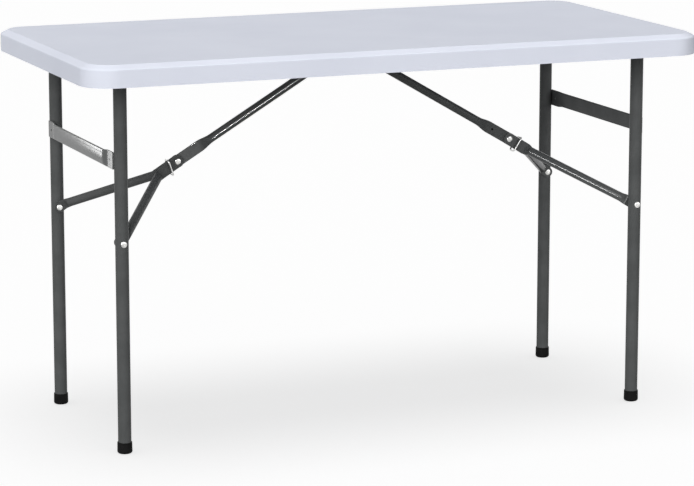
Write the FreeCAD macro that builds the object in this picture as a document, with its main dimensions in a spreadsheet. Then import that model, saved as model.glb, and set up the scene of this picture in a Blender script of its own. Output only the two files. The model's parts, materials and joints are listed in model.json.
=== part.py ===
import FreeCAD, Part
import math
import os
import Sketcher

# Folding catering table: a hollow blow-moulded top, two steel rails under it, and two leg frames
# that swing in under the top. Each frame is held upright by a brace of two arms and one strut,
# kept straight by a wire ring.
# Frame: origin on the floor under the middle of the top, +X along the length, +Y to the rear, +Z up.

SIZES = [
    ("top_length", 1216, "table top, end to end"),
    ("top_width", 603, "table top, front to rear"),
    ("table_height", 728, "floor to the top surface"),
    ("edge_height", 40, "height of the moulded edge"),
    ("board_thickness", 18, "double-walled board inside the edge"),
    ("edge_thickness", 14, "hollow edge, outside to inside"),
    ("skin", 2.6, "plastic wall of the top"),
    ("corner_radius", 57, "plan radius of the corners"),
    ("bevel_width", 14.4, "sloping band round the top surface, across"),
    ("bevel_height", 7.2, "sloping band round the top surface, down"),
    ("bevel_round", 3, "rounding of the band's two edges"),
    ("dent_mouth", 28, "dents that tie the two walls, diameter at the underside"),
    ("dent_tip", 12, "dent diameter at its tip"),
    ("rail_end_gap", 43, "table's end to the rail's end"),
    ("rail_inset", 69.5, "table's side to the rail web"),
    ("rail_flange", 26, "flange on the underside"),
    ("rail_web", 30, "web depth"),
    ("rail_steel", 1.5, "sheet thickness of rails and bracket"),
    ("screw_diameter", 4, "screws into the underside"),
    ("screw_length", 12, "screw below its head"),
    ("screw_head", 9, "screw head diameter"),
    ("screw_head_height", 2.4, "screw head height"),
    ("screw_end_gap", 25, "rail's end to its last screw"),
    ("leg_inset", 90, "table's end to the leg axis"),
    ("leg_gap", 20.5, "leg tube to the rail web"),
    ("leg_diameter", 24.5, "leg tube"),
    ("leg_wall", 1.2, "wall of the leg and hinge tubes"),
    ("leg_top_gap", 2, "leg tube end to the underside"),
    ("foot_diameter", 28, "foot cap"),
    ("foot_height", 21, "foot cap"),
    ("foot_floor", 5, "foot cap under the tube"),
    ("foot_round", 4.5, "rounding under the foot cap"),
    ("hinge_tube_diameter", 23.5, "tube that the legs are welded to"),
    ("hinge_drop", 17, "underside to the hinge axis"),
    ("stub_diameter", 12, "stub axles in the rails"),
    ("running_gap", 0.05, "radial play of a pin in its hole"),
    ("slide_gap", 0.3, "between flat faces that slide"),
    ("plug_depth", 20, "end plug inside the hinge tube"),
    ("collar", 2, "end plug's collar"),
    ("bar_drop", 168.3, "underside to the middle of the cross bar"),
    ("bar_depth", 29, "cross bar, top to bottom"),
    ("bar_end_depth", 32, "cross bar's pressed end, top to bottom"),
    ("bar_thickness", 7, "cross bar, round part"),
    ("flat_thickness", 3, "pressed ends of the tubes"),
    ("bar_stand_off", 0.5, "cross bar's round part to the face of the legs"),
    ("bar_setback", 2, "cross bar's end short of the leg axis"),
    ("bar_flat", 27, "cross bar's pressed end"),
    ("bar_taper", 20, "cross bar, pressed end to full section"),
    ("bar_wall", 1.4, "cross bar wall"),
    ("bar_hole", 4.5, "vent hole in the cross bar's pressed end"),
    ("bar_hole_place", 20, "leg axis to the vent hole"),
    ("pivot_drop", 320, "underside to the arm pivots on the legs"),
    ("knuckle_reach", 175.3, "leg axis to the brace's knuckle, along the table"),
    ("knuckle_lift", 3.43, "knuckle above the straight line from arm pivot to strut pin"),
    ("pin_offset", 10, "middle of the table to the strut pins"),
    ("pin_drop", 18, "underside to the strut pins"),
    ("arm_diameter", 17, "tube of the arms"),
    ("strut_diameter", 16, "tube of the struts"),
    ("brace_wall", 1.2, "wall of the arms and struts"),
    ("flat_width", 23, "pressed ends of the arms and struts"),
    ("ear_width", 20, "arm's pressed end at the leg, across"),
    ("ear_flat", 12, "arm's pressed end beyond the leg pivot"),
    ("ear_taper", 15, "arm's pressed end at the leg to round tube"),
    ("apex_flat", 43, "arm's pressed end before the knuckle"),
    ("apex_taper", 12, "arm's pressed end before the knuckle to round tube"),
    ("strut_flat", 52, "strut's pressed end above the knuckle"),
    ("eye_margin", 0.5, "strut's eye beyond its tube"),
    ("spare_hole", 4, "empty hole in one wall of the strut's pressed end"),
    ("spare_hole_place", 42, "empty hole above the knuckle"),
    ("strut_overhang", 26, "strut's pressed end beyond the knuckle"),
    ("strut_taper", 26, "strut's pressed end to round tube"),
    ("rivet_diameter", 6, "pivot rivets and strut pins"),
    ("rivet_head", 11.5, "pivot rivet heads"),
    ("rivet_head_height", 2.2, "pivot rivet heads"),
    ("pin_head", 9.6, "strut pin's head"),
    ("pin_spread", 8.4, "strut pin's spread end"),
    ("ring_wire", 3.3, "locking ring wire"),
    ("ring_length", 27, "locking ring, inside, across the flats"),
    ("ring_width", 16, "locking ring, inside, across the tube"),
    ("ring_offset", 19, "knuckle to the locking ring"),
    ("ring_bend", 5, "bend radius of the ring's wire axis"),
    ("left_ring_lean", 11, "left ring's lean from square to the strut, degrees"),
    ("right_ring_lean", -3, "right ring's lean from square to the strut, degrees"),
    ("bracket_length", 64, "strut bracket along the table"),
    ("bracket_flange", 14, "strut bracket's screwed flanges"),
]

doc = FreeCAD.newDocument("folding_table")
sheet = doc.addObject("Spreadsheet::Sheet", "Sizes")
for row, (name, value, note) in enumerate(SIZES, start=1):
    sheet.set(f"A{row}", note)
    sheet.set(f"B{row}", str(value))
    sheet.setAlias(f"B{row}", name)
doc.recompute()

nodes = []

# Places worked out from the driving sizes.
UNDERSIDE = "(Sizes.table_height - Sizes.board_thickness)"
LEG_X = "(Sizes.top_length / 2 - Sizes.leg_inset)"
HINGE_X = f"({LEG_X} - Sizes.leg_diameter / 2 - Sizes.hinge_tube_diameter / 2)"
HINGE_Z = f"({UNDERSIDE} - Sizes.hinge_drop)"
PIN_Z = f"({UNDERSIDE} - Sizes.pin_drop)"
LEG_TOP = f"({UNDERSIDE} - Sizes.leg_top_gap)"
BAR_Z = f"({UNDERSIDE} - Sizes.bar_drop)"
PIVOT_Z = f"({UNDERSIDE} - Sizes.pivot_drop)"
KNUCKLE_X = f"({LEG_X} - Sizes.knuckle_reach)"
BRACE_SLOPE = f"(({PIN_Z} - {PIVOT_Z}) / ({LEG_X} - Sizes.pin_offset))"
KNUCKLE_Z = f"({PIVOT_Z} + {BRACE_SLOPE} * Sizes.knuckle_reach + Sizes.knuckle_lift)"
RAIL_LENGTH = "(Sizes.top_length - 2 * Sizes.rail_end_gap)"
RAIL_Y = "(Sizes.top_width / 2 - Sizes.rail_inset)"
WEB_INSIDE = f"({RAIL_Y} - Sizes.rail_steel / 2)"
FLANGE_Y = f"({RAIL_Y} + Sizes.rail_flange / 2)"
HALF = f"({WEB_INSIDE} - Sizes.leg_gap - Sizes.leg_diameter / 2)"
CHEEK_INSIDE = "(Sizes.strut_diameter / 2 + Sizes.slide_gap)"
ARM_FLAT_Y = "(Sizes.flat_thickness + Sizes.slide_gap)"


def number(formula):
    """The value of a formula of the sheet's sizes."""
    return float(sheet.evalExpression(formula))


def size(name):
    return number("Sizes." + name)


def bind(item, **formulas):
    """Ties properties to formulas; an underscore in a name stands for a dot."""
    for name, formula in formulas.items():
        item.setExpression(name.replace("_", "."), str(formula))


def place(item, x, y, z, rotation=FreeCAD.Rotation()):
    item.Placement = FreeCAD.Placement(FreeCAD.Vector(), rotation)
    bind(item, Placement_Base_x=x, Placement_Base_y=y, Placement_Base_z=z)
    return item


def node(item, label):
    item.Label = label
    nodes.append(item)
    return item


ALONG_Y = FreeCAD.Rotation(FreeCAD.Vector(1, 0, 0), -90)
AGAINST_Y = FreeCAD.Rotation(FreeCAD.Vector(1, 0, 0), 90)
UPRIGHT = FreeCAD.Rotation()


def cylinder(name, diameter, height, x, y, z, rotation=UPRIGHT):
    item = doc.addObject("Part::Cylinder", name)
    bind(item, Radius=f"({diameter}) / 2", Height=height)
    return place(item, x, y, z, rotation)


def box(name, length, width, height, x, y, z):
    """A box centred on x and y, standing on z."""
    item = doc.addObject("Part::Box", name)
    bind(item, Length=length, Width=width, Height=height)
    return place(item, f"{x} - ({length}) / 2", f"{y} - ({width}) / 2", z)


def cut(name, base, *tools):
    for count, tool in enumerate(tools):
        result = doc.addObject("Part::Cut", f"{name}_cut_{count}")
        result.Base = base
        result.Tool = tool
        base = result
    return base


def fuse(name, *items):
    result = doc.addObject("Part::MultiFuse", f"{name}_whole")
    result.Shapes = list(items)
    return result


def turned(name, outline, rounds=()):
    """A body of revolution about its own Z, from (radius, height) corners given as formulas."""
    body = doc.addObject("PartDesign::Body", name)
    sketch = body.newObject("Sketcher::SketchObject", name + "_outline")
    plane = next(item for item in body.Origin.OriginFeatures if item.Role == "XZ_Plane")
    sketch.AttachmentSupport = [(plane, "")]
    sketch.MapMode = "FlatFace"
    points = [FreeCAD.Vector(number(radius), number(height), 0) for radius, height in outline]
    count = len(points)
    for index, point in enumerate(points):
        sketch.addGeometry(Part.LineSegment(point, points[(index + 1) % count]))
    for index in range(count):
        sketch.addConstraint(Sketcher.Constraint("Coincident", index, 2, (index + 1) % count, 1))
    for index, corner in enumerate(outline):
        for kind, formula in zip(("DistanceX", "DistanceY"), corner):
            rule = sketch.addConstraint(Sketcher.Constraint(kind, -1, 1, index, 1, number(formula)))
            sketch.setExpression(f"Constraints[{rule}]", formula)
    turn = body.newObject("PartDesign::Revolution", name + "_turn")
    turn.Profile = sketch
    turn.ReferenceAxis = (sketch, ["V_Axis"])
    turn.Angle = 360
    doc.recompute()
    for radius, height, formula in rounds:
        names = []
        for index, edge in enumerate(turn.Shape.Edges, start=1):
            ring = hasattr(edge.Curve, "Radius") and abs(edge.BoundBox.ZLength) < 1e-6
            if not ring:
                continue
            miss = abs(edge.Curve.Radius - number(radius)) + abs(edge.BoundBox.ZMin - number(height))
            if miss < 1e-6:
                names.append(f"Edge{index}")
        rounding = body.newObject("PartDesign::Fillet", name + "_round")
        rounding.Base = (turn, names)
        bind(rounding, Radius=formula)
        body.Tip = rounding
    return body


# Points of a domed head between its rim and its crown, as shares of the diameter and the height.
DOME = ((0.5, 0.3), (0.42, 0.7), (0.25, 0.95))
# Radius of a flat crown as a share of the head's diameter.
FLAT_CROWN = 0.3


def dome_outline(head, height, base):
    """From the rim on the base up to the crown on the axis."""
    rim = [(f"({head}) / 2", base)]
    dome = [(f"({head}) * {across}", f"{base} + ({height}) * {rise}") for across, rise in DOME]
    return rim + dome + [("0", f"{base} + ({height})")]


def head_outline(shank, length, head, height):
    """A domed head on a shank that runs down from z = 0."""
    shaft = [("0", f"-({length})"), (f"({shank}) / 2", f"-({length})"), (f"({shank}) / 2", "0")]
    return shaft + dome_outline(head, height, "0")


def group(label, master, places):
    """Copies of one turned piece as separate solids of one node."""
    item = doc.addObject("Part::Feature", label)
    doc.recompute()
    copies = []
    for (x, y, z), rotation in places:
        copy = master.Shape.copy()
        copy.Placement = FreeCAD.Placement(FreeCAD.Vector(number(x), number(y), number(z)), rotation)
        copies.append(copy)
    item.Shape = Part.makeCompound(copies)
    item.Placement = FreeCAD.Placement()
    return node(item, label)


def feature(label, shape):
    item = doc.addObject("Part::Feature", label)
    item.Shape = shape
    item.Placement = FreeCAD.Placement()
    return node(item, label)


PRESS_STEPS = 6
HALF_ROOT = math.sqrt(0.5)


def mix(start, end, share):
    return start * (1 - share) + end * share


def eased(share):
    return share * share * (3 - 2 * share)


def four_edges(centre, tip, tall, thin, reach):
    """A closed section: a cap through tip at either end, and sides that bow out from thin to reach."""
    upper_right, upper_left = centre + tall + thin, centre + tall - thin
    lower_right, lower_left = centre - tall + thin, centre - tall - thin
    edges = [
        Part.Arc(upper_right, centre + tip, upper_left),
        Part.LineSegment(upper_left, lower_left),
        Part.Arc(lower_left, centre - tip, lower_right),
        Part.LineSegment(lower_right, upper_right),
    ]
    if reach.Length > thin.Length + 1e-6:
        edges[1] = Part.Arc(upper_left, centre - reach, lower_left)
        edges[3] = Part.Arc(lower_right, centre + reach, upper_right)
    return Part.Wire([edge.toShape() for edge in edges])


def pressed_section(centre, up, side, width, thickness, tube, share):
    """A round tube's section: pressed flat at share 0, round at share 1."""
    tip = up * mix(width / 2, tube / 2, share)
    tall = up * mix(width / 2 - thickness / 2, tube / 2 * HALF_ROOT, share)
    thin = side * mix(thickness / 2, tube / 2 * HALF_ROOT, share)
    reach = side * mix(thickness / 2, tube / 2, share)
    return four_edges(centre, tip, tall, thin, reach)


OVAL_SHARE = 0.36


def oval_section(centre, up, side, width, thickness, full, share):
    """An oval tube's section: pressed flat at share 0, its full thickness at share 1."""
    tall = up * mix(width / 2 - thickness / 2, width / 2 - full * OVAL_SHARE, share)
    thin = side * mix(thickness / 2, full * OVAL_SHARE, share)
    reach = side * mix(thickness / 2, full / 2, share)
    return four_edges(centre, up * (width / 2), tall, thin, reach)


def press_shares():
    """Shares of the way from flat to round, eased at both ends."""
    return [eased(step / PRESS_STEPS) for step in range(PRESS_STEPS + 1)]


def disc(centre, diameter, thickness, axis):
    return Part.makeCylinder(diameter / 2, thickness, centre - axis * (thickness / 2), axis)


def rounded_slab(inset, bottom, top, bevel):
    """The top's plan outline, drawn in by inset, between two heights, with the sloping band if asked."""
    half_x = size("top_length") / 2 - inset
    half_y = size("top_width") / 2 - inset
    radius = size("corner_radius") - inset
    block = Part.makeBox(2 * half_x, 2 * half_y, top - bottom, FreeCAD.Vector(-half_x, -half_y, bottom))
    upright = [edge for edge in block.Edges if edge.BoundBox.ZLength > (top - bottom) / 2]
    block = block.makeFillet(radius, upright)
    if not bevel:
        return block
    rim = [edge for edge in block.Edges if edge.BoundBox.ZMin > top - 1e-4]
    block = block.makeChamfer(size("bevel_height"), size("bevel_width"), rim)
    drop = top - size("bevel_height")
    level = [edge for edge in block.Edges if edge.BoundBox.ZLength < 1e-4]
    crest = [edge for edge in level if edge.BoundBox.ZMin > drop - 1e-4]
    return block.makeFillet(size("bevel_round"), crest)


RAIL_SCREWS = 5
DENT_COLUMNS = 11
DENT_ROWS = 4


def dent_places():
    """Dents in rows along the board, clear of the rails, the bracket and the hinge tubes."""
    reach_x = number(HINGE_X) - size("hinge_tube_diameter") - size("dent_mouth")
    reach_y = number(WEB_INSIDE) - size("dent_mouth")
    places = []
    for column in range(DENT_COLUMNS):
        x = reach_x * (2 * column / (DENT_COLUMNS - 1) - 1)
        for row in range(DENT_ROWS):
            y = reach_y * ((2 * row + 1) / DENT_ROWS - 1)
            places.append((x, y))
    return places


def screw_places():
    """Rail screws in the flanges' middles, then the bracket's screws."""
    pitch = f"({RAIL_LENGTH} / 2 - Sizes.screw_end_gap) / {RAIL_SCREWS // 2}"
    steps = range(-(RAIL_SCREWS // 2), RAIL_SCREWS // 2 + 1)
    rail = [(f"{step} * {pitch}", f"{side} * {FLANGE_Y}") for side in (-1, 1) for step in steps]
    flange = f"({CHEEK_INSIDE} + Sizes.rail_steel + Sizes.bracket_flange / 2)"
    reach = "(Sizes.bracket_length / 2 - Sizes.screw_head)"
    bracket = [(f"{end} * {reach}", f"{side} * {flange}") for side in (-1, 1) for end in (-1, 1)]
    return rail, bracket


rail_screws_xy, bracket_screws_xy = screw_places()


def make_top():
    top_z = size("table_height")
    under = number(UNDERSIDE)
    low = top_z - size("edge_height")
    skin = size("skin")
    edge = size("edge_thickness")
    shell = rounded_slab(0, low, top_z, True)
    shell = shell.cut(rounded_slab(edge, low - 1, under, False))
    inner_top = top_z - skin
    inner_low = under + skin
    hollow = rounded_slab(skin, inner_low, inner_top, True)
    groove = rounded_slab(skin, low + skin, inner_low, False)
    groove = groove.cut(rounded_slab(edge - skin, low, inner_low, False))
    dents, walls = [], []
    mouth, tip = size("dent_mouth") / 2, size("dent_tip") / 2
    for x, y in dent_places():
        foot = FreeCAD.Vector(x, y, under)
        dents.append(Part.makeCone(mouth, tip, inner_top - skin - under, foot))
        walls.append(Part.makeCone(mouth + skin, tip + skin, inner_top - under, foot))
    hollow = hollow.fuse(groove).cut(walls)
    holes = []
    for x, y in rail_screws_xy + bracket_screws_xy:
        foot = FreeCAD.Vector(number(x), number(y), under - 1)
        holes.append(Part.makeCylinder(size("screw_diameter") / 2, skin + 2, foot))
    shell = shell.cut(dents).cut([hollow]).cut(holes)
    feature("table_top", shell.removeSplitter())


def make_rail(label, side):
    web = box(label + "_web", RAIL_LENGTH, "Sizes.rail_steel", "Sizes.rail_web",
              "0", f"{side} * {RAIL_Y}", f"{UNDERSIDE} - Sizes.rail_web")
    flange = box(label + "_flange", RAIL_LENGTH, "Sizes.rail_flange + Sizes.rail_steel", "Sizes.rail_steel",
                 "0", f"{side} * {FLANGE_Y}", f"{UNDERSIDE} - Sizes.rail_steel")
    angle = fuse(label, web, flange)
    holes = []
    for end in (-1, 1):
        holes.append(cylinder(f"{label}_hinge_hole_{end + 1}", "Sizes.stub_diameter + 2 * Sizes.running_gap",
                              "4 * Sizes.rail_steel", f"{end} * {HINGE_X}",
                              f"{side} * {RAIL_Y} - 2 * Sizes.rail_steel", HINGE_Z, ALONG_Y))
    for count, (x, y) in enumerate(rail_screws_xy):
        if (number(y) > 0) == (side > 0):
            holes.append(cylinder(f"{label}_screw_hole_{count}", "Sizes.screw_diameter",
                                  "4 * Sizes.rail_steel", x, y, f"{UNDERSIDE} - 2 * Sizes.rail_steel"))
    node(cut(label, angle, *holes), label)


def make_bracket():
    depth = "(Sizes.pin_drop + Sizes.rivet_diameter)"
    cheek_y = f"({CHEEK_INSIDE} + Sizes.rail_steel / 2)"
    pieces = []
    for side in (-1, 1):
        pieces.append(box(f"cheek_{side + 1}", "Sizes.bracket_length", "Sizes.rail_steel", depth,
                          "0", f"{side} * {cheek_y}", f"{UNDERSIDE} - {depth}"))
    width = f"(2 * {CHEEK_INSIDE} + 2 * Sizes.rail_steel + 2 * Sizes.bracket_flange)"
    pieces.append(box("bracket_plate", "Sizes.bracket_length", width, "Sizes.rail_steel",
                      "0", "0", f"{UNDERSIDE} - Sizes.rail_steel"))
    channel = fuse("strut_bracket", *pieces)
    holes = []
    for end in (-1, 1):
        holes.append(cylinder(f"bracket_pin_hole_{end + 1}", "Sizes.rivet_diameter", width,
                              f"{end} * Sizes.pin_offset", f"-{width} / 2", PIN_Z, ALONG_Y))
    for count, (x, y) in enumerate(bracket_screws_xy):
        holes.append(cylinder(f"bracket_screw_hole_{count}", "Sizes.screw_diameter", "4 * Sizes.rail_steel",
                              x, y, f"{UNDERSIDE} - 2 * Sizes.rail_steel"))
    node(cut("strut_bracket", channel, *holes), "strut_bracket")


def make_screws():
    screw = turned("screw", head_outline("Sizes.screw_diameter", "Sizes.screw_length",
                                         "Sizes.screw_head", "Sizes.screw_head_height"))
    upside_down = FreeCAD.Rotation(FreeCAD.Vector(1, 0, 0), 180)
    seat = f"{UNDERSIDE} - Sizes.rail_steel"
    group("rail_screws", screw, [((x, y, seat), upside_down) for x, y in rail_screws_xy])
    group("bracket_screws", screw, [((x, y, seat), upside_down) for x, y in bracket_screws_xy])


def make_strut_pin(side, sign):
    """A headed pin through both cheeks, spread at its far end."""
    reach = f"({CHEEK_INSIDE} + Sizes.rail_steel)"
    spread = "Sizes.pin_spread / 2"
    outline = [
        ("0", f"-{reach} - Sizes.rivet_head_height"),
        (spread, f"-{reach} - Sizes.rivet_head_height"),
        (spread, f"-{reach}"),
        ("Sizes.rivet_diameter / 2", f"-{reach}"),
        ("Sizes.rivet_diameter / 2", reach),
        ("Sizes.pin_head / 2", reach),
        (f"Sizes.pin_head * {FLAT_CROWN}", f"{reach} + Sizes.rivet_head_height"),
        ("0", f"{reach} + Sizes.rivet_head_height"),
    ]
    pin = turned(f"{side}_strut_pin", outline)
    node(place(pin, f"{sign} * Sizes.pin_offset", "0", PIN_Z, AGAINST_Y), f"{side}_strut_pin")


def make_leg(label, x, y):
    """A leg tube, holed for its pivot rivet."""
    base = "Sizes.foot_floor"
    height = f"{LEG_TOP} - {base}"
    outer = cylinder(label + "_outside", "Sizes.leg_diameter", height, x, y, base)
    bore = cylinder(label + "_bore", "Sizes.leg_diameter - 2 * Sizes.leg_wall", height, x, y, base)
    pivot = cylinder(label + "_pivot_hole", "Sizes.rivet_diameter", "Sizes.leg_diameter + 2",
                     x, f"{y} - Sizes.leg_diameter / 2 - 1", PIVOT_Z, ALONG_Y)
    node(cut(label, outer, bore, pivot), label)


def make_foot(label, x, y):
    bore = "(Sizes.leg_diameter / 2)"
    outside = "(Sizes.foot_diameter / 2)"
    outline = [
        ("0", "0"),
        (outside, "0"),
        (f"{outside} - 0.4", "Sizes.foot_height"),
        (bore, "Sizes.foot_height"),
        (bore, "Sizes.foot_floor"),
        ("0", "Sizes.foot_floor"),
    ]
    foot = turned(label, outline, [(outside, "0", "Sizes.foot_round")])
    node(place(foot, x, y, "0"), label)


def make_hinge_tube(side, sign):
    label = f"{side}_hinge_tube"
    half = f"({WEB_INSIDE} - Sizes.slide_gap - Sizes.collar)"
    x = f"{sign} * {HINGE_X}"
    outer = cylinder(label + "_outside", "Sizes.hinge_tube_diameter", f"2 * {half}",
                     x, f"-{half}", HINGE_Z, ALONG_Y)
    bore = cylinder(label + "_bore", "Sizes.hinge_tube_diameter - 2 * Sizes.leg_wall", f"2 * {half}",
                    x, f"-{half}", HINGE_Z, ALONG_Y)
    node(cut(label, outer, bore), label)
    inside = "(Sizes.hinge_tube_diameter / 2 - Sizes.leg_wall)"
    stub = "(Sizes.collar + Sizes.slide_gap + 3 * Sizes.rail_steel)"
    plug = turned(f"{side}_hinge_plug", [
        ("0", "-Sizes.plug_depth"),
        (inside, "-Sizes.plug_depth"),
        (inside, "0"),
        ("Sizes.hinge_tube_diameter / 2", "0"),
        ("Sizes.hinge_tube_diameter / 2", "Sizes.collar"),
        ("Sizes.stub_diameter / 2", "Sizes.collar"),
        ("Sizes.stub_diameter / 2", f"{stub} - 1"),
        ("Sizes.stub_diameter / 2 - 1", stub),
        ("0", stub),
    ])
    group(f"{side}_hinge_plugs", plug, [((x, f"-{half}", HINGE_Z), AGAINST_Y), ((x, half, HINGE_Z), ALONG_Y)])


def make_bar(side, sign):
    """An oval tube on the outer side of the legs, with its ends pressed flat against them."""
    face = sign * (number(LEG_X) + size("leg_diameter") / 2)
    middle = number(BAR_Z)
    thin, thick = size("flat_thickness"), size("bar_thickness")
    tall, flat, taper, wall = size("bar_depth"), size("bar_flat"), size("bar_taper"), size("bar_wall")
    end_tall = size("bar_end_depth")
    end = number(HALF) - size("bar_setback")
    full = end - flat - taper
    up, across = FreeCAD.Vector(0, 0, 1), FreeCAD.Vector(1, 0, 0)

    def section(y, share):
        offset = mix(thin / 2, thick / 2 + size("bar_stand_off"), share)
        centre = FreeCAD.Vector(face + sign * offset, y, middle)
        return oval_section(centre, up, across, mix(end_tall, tall, share), thin, thick, share)

    def inner_section(y):
        centre = FreeCAD.Vector(face + sign * (thick / 2 + size("bar_stand_off")), y, middle)
        return oval_section(centre, up, across, tall - 2 * wall, thin, thick - 2 * wall, 1)

    opening, closing = [], []
    for step, share in enumerate(press_shares()):
        y = end - flat - taper * (step / PRESS_STEPS)
        opening.append(section(-y, share))
        closing.insert(0, section(y, share))
    bar = Part.makeLoft([section(-end, 0)] + opening + closing + [section(end, 0)], True, True)
    hollow = Part.makeLoft([inner_section(-full), inner_section(full)], True, True)
    axis = FreeCAD.Vector(sign, 0, 0)
    holes = []
    for way in (-1, 1):
        y = way * (number(HALF) - size("bar_hole_place"))
        start = FreeCAD.Vector(face, y, middle) - axis * thin
        holes.append(Part.makeCylinder(size("bar_hole") / 2, 3 * thin, start, axis))
    feature(f"{side}_cross_bar", bar.cut([hollow]).cut(holes))


def brace_points(sign):
    """Leg pivot, knuckle and strut pin on the table's middle plane."""
    pivot = FreeCAD.Vector(sign * number(LEG_X), 0, number(PIVOT_Z))
    apex = FreeCAD.Vector(sign * number(KNUCKLE_X), 0, number(KNUCKLE_Z))
    pin = FreeCAD.Vector(sign * size("pin_offset"), 0, number(PIN_Z))
    return pivot, apex, pin


REAR = FreeCAD.Vector(0, 1, 0)
EYE_SHARE = 0.8


def make_arm(label, sign, way):
    """A tube from the inner side of a leg to one side of the strut, pressed flat at both ends."""
    pivot, apex, _ = brace_points(sign)
    along = (apex - pivot).normalize()
    up = REAR.cross(along) if sign > 0 else along.cross(REAR)
    length = (apex - pivot).Length
    thin, wide, tube = size("flat_thickness"), size("flat_width"), size("arm_diameter")
    ear_wide = size("ear_width")
    ear_y = way * (number(HALF) - size("leg_diameter") / 2 - size("slide_gap") - thin / 2)
    apex_y = way * number(ARM_FLAT_Y)

    def at(distance, y):
        return pivot + along * distance + REAR * y

    bend_out = at(size("ear_flat"), ear_y)
    bend_in = at(length - size("apex_flat"), apex_y)
    slant = (bend_in - bend_out).normalize()
    side = up.cross(slant)
    if side.dot(REAR) < 0:
        side = side * -1
    ear_taper = slant * size("ear_taper")
    apex_taper = slant * size("apex_taper")
    opening, closing = [], []
    for step, share in enumerate(press_shares()):
        turned_side = mix(REAR, side, share).normalize()
        outward = bend_out + ear_taper * (step / PRESS_STEPS)
        inward = bend_in - apex_taper * (step / PRESS_STEPS)
        opening.append(pressed_section(outward, up, turned_side, ear_wide, thin, tube, share))
        closing.insert(0, pressed_section(inward, up, turned_side, wide, thin, tube, share))
    ear = pressed_section(at(0, ear_y), up, REAR, ear_wide, thin, tube, 0)
    knuckle = pressed_section(at(length, apex_y), up, REAR, wide, thin, tube, 0)
    arm = Part.makeLoft([ear] + opening + closing + [knuckle], True, True)
    arm = arm.fuse([disc(at(0, ear_y), ear_wide, thin, REAR), disc(at(length, apex_y), wide, thin, REAR)])
    run = (bend_in - bend_out).Length - size("ear_taper") - size("apex_taper")
    bore = Part.makeCylinder(tube / 2 - size("brace_wall"), run, bend_out + ear_taper, slant)
    hole = size("rivet_diameter")
    holes = [disc(at(0, ear_y), hole, 2 * thin, REAR), disc(at(length, apex_y), hole, 2 * thin, REAR)]
    feature(label, arm.cut([bore]).cut(holes).removeSplitter())


def make_strut(side, sign):
    """A tube from the bracket's pin to the knuckle, pressed flat there and running on under the ring."""
    _, apex, pin = brace_points(sign)
    along = (apex - pin).normalize()
    up = along.cross(REAR) if sign > 0 else REAR.cross(along)
    length = (apex - pin).Length
    thin, wide, tube = size("flat_thickness"), size("flat_width"), size("strut_diameter")
    flat_start = length - size("strut_flat")
    round_end = flat_start - size("strut_taper")
    tip = length + size("strut_overhang") - wide / 2

    def at(distance):
        return pin + along * distance

    wires = [pressed_section(at(0), up, REAR, wide, thin, tube, 1)]
    for step, share in enumerate(press_shares()):
        reach = size("strut_taper") * (step / PRESS_STEPS)
        wires.insert(1, pressed_section(at(flat_start - reach), up, REAR, wide, thin, tube, share))
    wires.append(pressed_section(at(tip), up, REAR, wide, thin, tube, 0))
    strut = Part.makeLoft(wires, True, True)
    eye = disc(at(0), tube + 2 * size("eye_margin"), tube * EYE_SHARE, REAR)
    strut = strut.fuse([eye, disc(at(tip), wide, thin, REAR)])
    bore = Part.makeCylinder(tube / 2 - size("brace_wall"), round_end - tube, at(tube), along)
    play = 2 * size("running_gap")
    outer_face = REAR * (-sign * thin / 2)
    holes = [
        disc(at(0), size("rivet_diameter") + play, 2 * tube, REAR),
        disc(at(length), size("rivet_diameter") + play, 2 * thin, REAR),
        disc(at(length - size("spare_hole_place")) + outer_face, size("spare_hole"), thin, REAR),
    ]
    feature(f"{side}_strut", strut.cut([bore]).cut(holes).removeSplitter())


def make_knuckle_rivet(side, sign):
    reach = f"({ARM_FLAT_Y} + Sizes.flat_thickness / 2)"
    head, height = "Sizes.rivet_head", "Sizes.rivet_head_height"
    outline = [
        ("0", f"-{reach} - {height}"),
        (f"{head} * {FLAT_CROWN}", f"-{reach} - {height}"),
        (f"{head} / 2", f"-{reach}"),
        ("Sizes.rivet_diameter / 2", f"-{reach}"),
        ("Sizes.rivet_diameter / 2", reach),
    ]
    outline += dome_outline(head, height, reach)
    rivet = turned(f"{side}_knuckle_rivet", outline)
    node(place(rivet, f"{sign} * {KNUCKLE_X}", "0", KNUCKLE_Z, AGAINST_Y), f"{side}_knuckle_rivet")


def make_pivot_rivets(side, sign):
    """Each leg pivot: the leg carries the outer head and shank, the arm carries the inner head."""
    x = f"{sign} * {LEG_X}"
    z = PIVOT_Z
    leg_side = turned(f"{side}_leg_rivet", head_outline(
        "Sizes.rivet_diameter", "Sizes.leg_diameter", "Sizes.rivet_head", "Sizes.rivet_head_height"))
    outer = f"({HALF} + Sizes.leg_diameter / 2)"
    group(f"{side}_leg_rivets", leg_side, [((x, f"-{outer}", z), AGAINST_Y), ((x, outer, z), ALONG_Y)])
    arm_side = turned(f"{side}_arm_rivet", head_outline(
        "Sizes.rivet_diameter", "Sizes.flat_thickness", "Sizes.rivet_head", "Sizes.rivet_head_height"))
    inner = f"({HALF} - Sizes.leg_diameter / 2 - Sizes.slide_gap - Sizes.flat_thickness)"
    group(f"{side}_arm_rivets", arm_side, [((x, f"-{inner}", z), ALONG_Y), ((x, inner, z), AGAINST_Y)])


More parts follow.
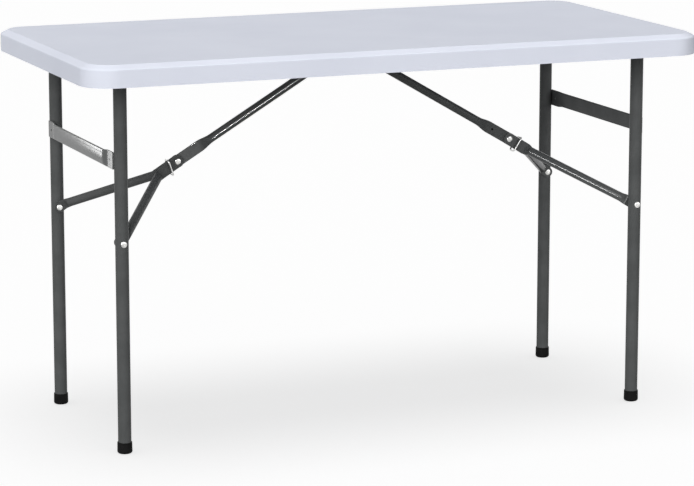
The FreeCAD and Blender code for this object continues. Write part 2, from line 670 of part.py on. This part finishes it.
def make_ring(side, sign):
    """A wire loop that hangs on the upper edges of the brace's flats and holds them in line."""
    _, apex, pin = brace_points(sign)
    along = (apex - pin).normalize()
    up = along.cross(REAR) if sign > 0 else REAR.cross(along)
    lean = math.radians(size(f"{side}_ring_lean"))
    ring_up = up * math.cos(lean) - along * math.sin(lean)
    wire = size("ring_wire")
    half_up = (size("ring_length") + wire) / 2
    half_side = (size("ring_width") + wire) / 2
    bend = size("ring_bend")
    sag = (half_up - wire / 2) * math.cos(lean) - size("flat_width") / 2 - size("slide_gap")
    centre = apex + along * size("ring_offset") - up * sag

    def at(side_way, up_way):
        return centre + REAR * side_way + ring_up * up_way

    edges = []
    turn = bend * (1 - HALF_ROOT)
    for a, b in ((1, 1), (-1, 1), (-1, -1), (1, -1)):
        on_side = at(a * half_side, b * (half_up - bend))
        on_end = at(a * (half_side - bend), b * half_up)
        middle = at(a * (half_side - turn), b * (half_up - turn))
        edges.append(Part.Arc(on_side, middle, on_end).toShape())
        if a == b:
            across = at(-a * (half_side - bend), b * half_up)
            edges.append(Part.LineSegment(on_end, across).toShape())
            down = at(a * half_side, -b * (half_up - bend))
            edges.append(Part.LineSegment(on_side, down).toShape())
    path = Part.Wire(Part.__sortEdges__(edges))
    start = path.Edges[0].Vertexes[0].Point
    tangent = path.Edges[0].tangentAt(path.Edges[0].FirstParameter)
    profile = Part.Wire([Part.Circle(start, tangent, wire / 2).toShape()])
    ring = path.makePipeShell([profile], True, False)
    feature(f"{side}_lock_ring", ring)


make_top()
for name, side in (("front_rail", -1), ("rear_rail", 1)):
    make_rail(name, side)
make_bracket()
make_screws()
for side, sign in (("left", -1), ("right", 1)):
    make_strut_pin(side, sign)
    make_hinge_tube(side, sign)
    for place_name, way in (("front", -1), ("rear", 1)):
        leg_x, leg_y = f"{sign} * {LEG_X}", f"{way} * {HALF}"
        make_leg(f"{side}_{place_name}_leg", leg_x, leg_y)
        make_foot(f"{side}_{place_name}_foot", leg_x, leg_y)
        make_arm(f"{side}_{place_name}_arm", sign, way)
    make_bar(side, sign)
    make_pivot_rivets(side, sign)
    make_strut(side, sign)
    make_knuckle_rivet(side, sign)
    make_ring(side, sign)

doc.recompute()
for item in doc.Objects:
    if "Invalid" in item.State or "Error" in item.State:
        raise RuntimeError(f"{item.Label} failed: {item.State}")
for item in nodes:
    if item.Shape.isNull() or not item.Shape.isValid():
        raise RuntimeError(f"{item.Label} has no valid shape")

os.makedirs("parts", exist_ok=True)
for item in nodes:
    item.Shape.exportStep(f"parts/{item.Label}.step")
    print(item.Label, len(item.Shape.Solids), "solids", round(item.Shape.Volume), "mm3")
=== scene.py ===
import json
import math

import bpy
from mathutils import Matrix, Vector

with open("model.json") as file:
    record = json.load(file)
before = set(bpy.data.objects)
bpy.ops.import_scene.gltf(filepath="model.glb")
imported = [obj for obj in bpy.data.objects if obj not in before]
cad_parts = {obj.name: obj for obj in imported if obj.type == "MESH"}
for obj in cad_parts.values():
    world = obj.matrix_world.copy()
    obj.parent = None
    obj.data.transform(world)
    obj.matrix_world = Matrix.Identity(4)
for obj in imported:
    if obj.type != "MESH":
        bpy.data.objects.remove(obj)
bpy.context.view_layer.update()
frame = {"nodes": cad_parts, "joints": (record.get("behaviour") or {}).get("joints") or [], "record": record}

nodes = frame["nodes"]
scene = bpy.context.scene
scene.view_settings.view_transform = "Standard"

# Materials: each mixes two tones by a soft noise, varies its roughness and has a fine grain.
# Lengths are in metres.
NOISE_ROUGHNESS = 0.55
TONE_LOW, TONE_HIGH = 0.35, 0.65        # noise values where the two tones begin
SPREAD_LOW, SPREAD_HIGH = 0.3, 0.7      # noise values where the roughness range ends
CLOUD_FINENESS = 2.7                    # roughness patches to one patch of tone
COAT_ROUGHNESS = 0.09
FRAME_GLOSS, BAR_GLOSS, ARM_GLOSS = 0.12, 0.65, 0.4

# The spare hole in each strut, darkened with painted shade for the hollow tube behind it: the shade's
# colour, radius and soft rim, the hole's distance from the knuckle and half the pressed end's thickness.
HOLE_SHADE = (0.004, 0.004, 0.004, 1)
HOLE_RADIUS = 0.0024
HOLE_SOFTNESS = 0.1
HOLE_PLACE = 0.042
PRESSED_HALF = 0.0015


def tones(tree, source, dark, light):
    ramp = tree.nodes.new("ShaderNodeValToRGB")
    first, last = ramp.color_ramp.elements
    first.position = TONE_LOW
    first.color = (*dark, 1)
    last.position = TONE_HIGH
    last.color = (*light, 1)
    tree.links.new(source, ramp.inputs["Fac"])
    return ramp.outputs["Color"]


def noise(tree, coordinates, scale, detail=3.0):
    node = tree.nodes.new("ShaderNodeTexNoise")
    node.inputs["Scale"].default_value = scale
    node.inputs["Detail"].default_value = detail
    node.inputs["Roughness"].default_value = NOISE_ROUGHNESS
    tree.links.new(coordinates, node.inputs["Vector"])
    return node.outputs["Fac"]


def spread(tree, source, low, high):
    node = tree.nodes.new("ShaderNodeMapRange")
    node.inputs["From Min"].default_value = SPREAD_LOW
    node.inputs["From Max"].default_value = SPREAD_HIGH
    node.inputs["To Min"].default_value = low
    node.inputs["To Max"].default_value = high
    tree.links.new(source, node.inputs["Value"])
    return node.outputs["Result"]


def bump(tree, source, distance, strength, below=None):
    node = tree.nodes.new("ShaderNodeBump")
    node.inputs["Distance"].default_value = distance
    node.inputs["Strength"].default_value = strength
    tree.links.new(source, node.inputs["Height"])
    if below is not None:
        tree.links.new(below, node.inputs["Normal"])
    return node.outputs["Normal"]


def paint_hole_shade(tree, place, mouth, skin):
    """skin, with painted shade inside the small hole that opens at mouth, standing in for the dark of the
    hollow tube behind it.
    """
    offset = tree.nodes.new("ShaderNodeVectorMath")
    offset.operation = "DISTANCE"
    offset.inputs[1].default_value = mouth
    tree.links.new(place, offset.inputs[0])
    hole_shade_mask = tree.nodes.new("ShaderNodeMapRange")
    hole_shade_mask.inputs["From Min"].default_value = (1 - HOLE_SOFTNESS) * HOLE_RADIUS
    hole_shade_mask.inputs["From Max"].default_value = (1 + HOLE_SOFTNESS) * HOLE_RADIUS
    tree.links.new(offset.outputs["Value"], hole_shade_mask.inputs["Value"])
    mix = tree.nodes.new("ShaderNodeMix")
    mix.data_type = "RGBA"
    mix.inputs["A"].default_value = HOLE_SHADE
    tree.links.new(hole_shade_mask.outputs["Result"], mix.inputs["Factor"])
    tree.links.new(skin, mix.inputs["B"])
    return mix.outputs["Result"]


def coated(name, dark, light, rough, tone_scale, grains,
           metallic=0.0, specular=0.5, gloss=0.0, mouth=None):
    """dark, light: the two tones; rough: roughness range; gloss: weight of the smooth outer skin;
    grains: (scale, depth, strength) of each bump; mouth: where a small hole opens, if any, to be darkened
    with painted shade."""
    material = bpy.data.materials.new(name)
    material.use_nodes = True
    tree = material.node_tree
    shader = tree.nodes["Principled BSDF"]
    place = tree.nodes.new("ShaderNodeTexCoord").outputs["Object"]
    shader.inputs["Metallic"].default_value = metallic
    shader.inputs["Specular IOR Level"].default_value = specular
    shader.inputs["Coat Weight"].default_value = gloss
    shader.inputs["Coat Roughness"].default_value = COAT_ROUGHNESS
    patches = noise(tree, place, tone_scale)
    skin = tones(tree, patches, dark, light)
    # Painted shade: the inside of the spare hole is drawn dark in the base colour.
    if mouth is not None:
        skin = paint_hole_shade(tree, place, mouth, skin)
    tree.links.new(skin, shader.inputs["Base Color"])
    cloud = noise(tree, place, tone_scale * CLOUD_FINENESS, detail=5)
    tree.links.new(spread(tree, cloud, *rough), shader.inputs["Roughness"])
    normal = None
    for scale, depth, strength in grains:
        normal = bump(tree, noise(tree, place, scale), depth, strength, normal)
    tree.links.new(normal, shader.inputs["Normal"])
    return material


def frame_paint(name, mouth=None, gloss=FRAME_GLOSS):
    return coated(name, dark=(0.066, 0.069, 0.069), light=(0.080, 0.083, 0.083),
                  rough=(0.34, 0.42), tone_scale=26, grains=[(900, 0.00001, 0.03)],
                  specular=0.02, gloss=gloss, mouth=mouth)


# One finish for each material slot of the record.
finishes = {
    "top_plastic": coated(
        "moulded plastic", dark=(0.603, 0.627, 0.706), light=(0.629, 0.653, 0.730),
        rough=(0.56, 0.66), tone_scale=5,
        grains=[(420, 0.00020, 0.10), (1500, 0.00012, 0.16)], specular=0.06),
    "frame_paint": frame_paint("powder coat"),
    "bright_steel": coated(
        "zinc plate", dark=(0.52, 0.52, 0.51), light=(0.80, 0.80, 0.78),
        rough=(0.18, 0.30), tone_scale=160, grains=[(1800, 0.00002, 0.10)], metallic=1.0),
    "wire_steel": coated(
        "bright wire", dark=(0.56, 0.56, 0.55), light=(0.76, 0.76, 0.75),
        rough=(0.16, 0.28), tone_scale=220, grains=[(2200, 0.00002, 0.10)], metallic=1.0),
    "foot_plastic": coated(
        "black plastic", dark=(0.006, 0.006, 0.006), light=(0.010, 0.010, 0.010),
        rough=(0.50, 0.62), tone_scale=60,
        grains=[(700, 0.00015, 0.14), (2000, 0.00008, 0.15)], specular=0.03),
}

# Painted nodes with a paint of their own: the struts, whose spare hole gets painted shade, and the pieces
# that are glossier than the rest of the frame.
own_paint = {}
hinges = [joint for joint in frame["joints"] if joint["type"] == "hinge"]
pivots = {joint["name"]: Vector(joint["pos_m"]) for joint in hinges}
for side, opens_to in (("left", 1), ("right", -1)):     # 1: to the rear, -1: to the front
    knuckle = pivots[f"{side}_wishbone_turn"]
    upward = (pivots[f"{side}_strut_turn"] - knuckle).normalized()
    mouth = knuckle + upward * HOLE_PLACE + Vector((0, opens_to * PRESSED_HALF, 0))
    own_paint[f"{side}_strut"] = frame_paint(f"powder coat {side}", mouth=mouth)
own_paint["left_cross_bar"] = frame_paint("powder coat bar", gloss=BAR_GLOSS)
arm_paint = frame_paint("powder coat arm", gloss=ARM_GLOSS)
own_paint["right_front_arm"] = arm_paint
own_paint["right_rear_arm"] = arm_paint

SMOOTH_BELOW = math.radians(32)


def dress(piece, material):
    piece.data.materials.clear()
    piece.data.materials.append(material)
    for face in piece.data.polygons:
        face.use_smooth = True
    piece.data.set_sharp_from_angle(angle=SMOOTH_BELOW)


for part in frame["record"]["subparts"]:
    node = part["node"]
    dress(nodes[node], own_paint.get(node, finishes[part["material_slot"]]))

# Floor, backdrop and light.
FLOOR_GREY = 0.56
FLOOR_GLOW = 0.71
FLOOR_HALF = 60.0
DOME_STRENGTH = 0.24
BACKDROP_WHITE = 1.0


def seen_directly(tree):
    """1 on rays that show the backdrop itself: to the camera, in a reflection or through
    something clear."""
    rays = tree.nodes.new("ShaderNodeLightPath")
    seen = rays.outputs["Is Camera Ray"]
    for kind in ("Is Glossy Ray", "Is Transmission Ray"):
        larger = tree.nodes.new("ShaderNodeMath")
        larger.operation = "MAXIMUM"
        tree.links.new(seen, larger.inputs[0])
        tree.links.new(rays.outputs[kind], larger.inputs[1])
        seen = larger.outputs[0]
    return seen


def choose(tree, factor, hidden, shown):
    mix = tree.nodes.new("ShaderNodeMixShader")
    tree.links.new(factor, mix.inputs["Fac"])
    tree.links.new(hidden.outputs[0], mix.inputs[1])
    tree.links.new(shown.outputs[0], mix.inputs[2])
    return mix


def floor_material():
    material = bpy.data.materials.new("pale floor")
    material.use_nodes = True
    tree = material.node_tree
    tree.nodes.clear()
    output = tree.nodes.new("ShaderNodeOutputMaterial")
    plain = tree.nodes.new("ShaderNodeBsdfDiffuse")
    plain.inputs["Color"].default_value = (FLOOR_GREY, FLOOR_GREY, FLOOR_GREY, 1)
    glow = tree.nodes.new("ShaderNodeEmission")
    glow.inputs["Strength"].default_value = FLOOR_GLOW
    white = tree.nodes.new("ShaderNodeAddShader")
    tree.links.new(plain.outputs[0], white.inputs[0])
    tree.links.new(glow.outputs[0], white.inputs[1])
    surface = choose(tree, seen_directly(tree), plain, white)
    tree.links.new(surface.outputs[0], output.inputs["Surface"])
    return material


def lay_floor():
    mesh = bpy.data.meshes.new("floor")
    corners = [(-FLOOR_HALF, -FLOOR_HALF, 0), (FLOOR_HALF, -FLOOR_HALF, 0),
               (FLOOR_HALF, FLOOR_HALF, 0), (-FLOOR_HALF, FLOOR_HALF, 0)]
    mesh.from_pydata(corners, [], [(0, 1, 2, 3)])
    mesh.materials.append(floor_material())
    floor = bpy.data.objects.new("floor", mesh)
    scene.collection.objects.link(floor)
    return floor


def light_dome():
    world = bpy.data.worlds.new("studio")
    world.use_nodes = True
    tree = world.node_tree
    tree.nodes.clear()
    output = tree.nodes.new("ShaderNodeOutputWorld")
    dim = tree.nodes.new("ShaderNodeBackground")
    dim.inputs["Strength"].default_value = DOME_STRENGTH
    white = tree.nodes.new("ShaderNodeBackground")
    white.inputs["Strength"].default_value = BACKDROP_WHITE
    surface = choose(tree, seen_directly(tree), dim, white)
    tree.links.new(surface.outputs[0], output.inputs["Surface"])
    scene.world = world


def hang(lamp, direction):
    """Adds the lamp to the scene, shining along direction."""
    lamp.rotation_euler = direction.to_track_quat("-Z", "Y").to_euler()
    scene.collection.objects.link(lamp)


def link_light(lamp, pieces, state):
    """state INCLUDE: the lamp lights these pieces alone; EXCLUDE: it lights all but these."""
    linked = bpy.data.collections.new(lamp.name)
    lamp.light_linking.receiver_collection = linked
    for piece in pieces:
        linked.objects.link(piece)
    for member in linked.collection_objects:
        member.light_linking.link_state = state


def far_light(name, towards, strength, width):
    """A distant soft light: towards is the direction from the table to it, width its angle in
    degrees."""
    light = bpy.data.lights.new(name, "SUN")
    light.energy = strength
    light.angle = math.radians(width)
    lamp = bpy.data.objects.new(name, light)
    hang(lamp, -Vector(towards))
    return lamp


def softbox(name, place, target, size, radiance, lit):
    """A flat lamp that shows only as a gleam on the nodes named in lit; size: width, height."""
    width, height = size
    light = bpy.data.lights.new(name, "AREA")
    light.shape = "RECTANGLE"
    light.size = width
    light.size_y = height
    light.energy = radiance * math.pi * width * height
    lamp = bpy.data.objects.new(name, light)
    lamp.location = place
    lamp.visible_camera = False
    lamp.visible_diffuse = False
    hang(lamp, Vector(target) - Vector(place))
    link_light(lamp, [nodes[node] for node in lit], "INCLUDE")


floor = lay_floor()
light_dome()
main_light = far_light("front left", towards=(-0.70, -0.617, 0.36), strength=3.05, width=54)
fill_light = far_light("front right", towards=(0.51, -0.80, 0.316), strength=1.15, width=54)
back_light = far_light("rear right", towards=(0.70, 0.66, 0.27), strength=0.80, width=54)
edge_light = far_light("rear", towards=(0.10, 0.98, 0.17), strength=0.12, width=30)
for lamp in (main_light, fill_light, edge_light):
    link_light(lamp, [floor], "EXCLUDE")
link_light(back_light, [floor, nodes["table_top"]], "EXCLUDE")
far_light("overhead", towards=(-0.02, -0.04, 0.99), strength=0.95, width=38)
softbox("low front", place=(0.66, -3.88, 0.57), target=(-0.26, 0, 0.54),
        size=(0.10, 1.10), radiance=1350, lit=["left_strut"])
softbox("low left", place=(-3.44, -1.02, 0.77), target=(0.44, -0.09, 0.44),
        size=(0.36, 0.80), radiance=52, lit=["right_front_arm", "right_rear_arm"])
softbox("low rear", place=(-1.40, 2.40, 0.16), target=(-0.54, -0.10, 0.54),
        size=(0.06, 0.24), radiance=7, lit=["left_cross_bar"])
softbox("rear strip", place=(-1.43, 2.40, 0.60), target=(-0.54, -0.12, 0.57),
        size=(0.07, 0.60), radiance=11, lit=["left_cross_bar"])

# Camera at the photograph's viewing angle.
PHOTO_WIDTH = 694
FOCAL_PIXELS = 3083.5
SENSOR_WIDTH = 36
CLIP_END = 200
CAMERA_PLACE = Vector((-2.2006, -5.3977, 1.4779))
CAMERA_AZIMUTH = math.radians(22.19)
CAMERA_PITCH = math.radians(11.28)
camera = bpy.data.objects.new("camera", bpy.data.cameras.new("camera"))
camera.data.sensor_width = SENSOR_WIDTH
camera.data.lens = FOCAL_PIXELS / PHOTO_WIDTH * SENSOR_WIDTH
camera.data.clip_end = CLIP_END
camera.location = CAMERA_PLACE
camera.rotation_euler = (math.pi / 2 - CAMERA_PITCH, 0, -CAMERA_AZIMUTH)
scene.collection.objects.link(camera)
scene.camera = camera
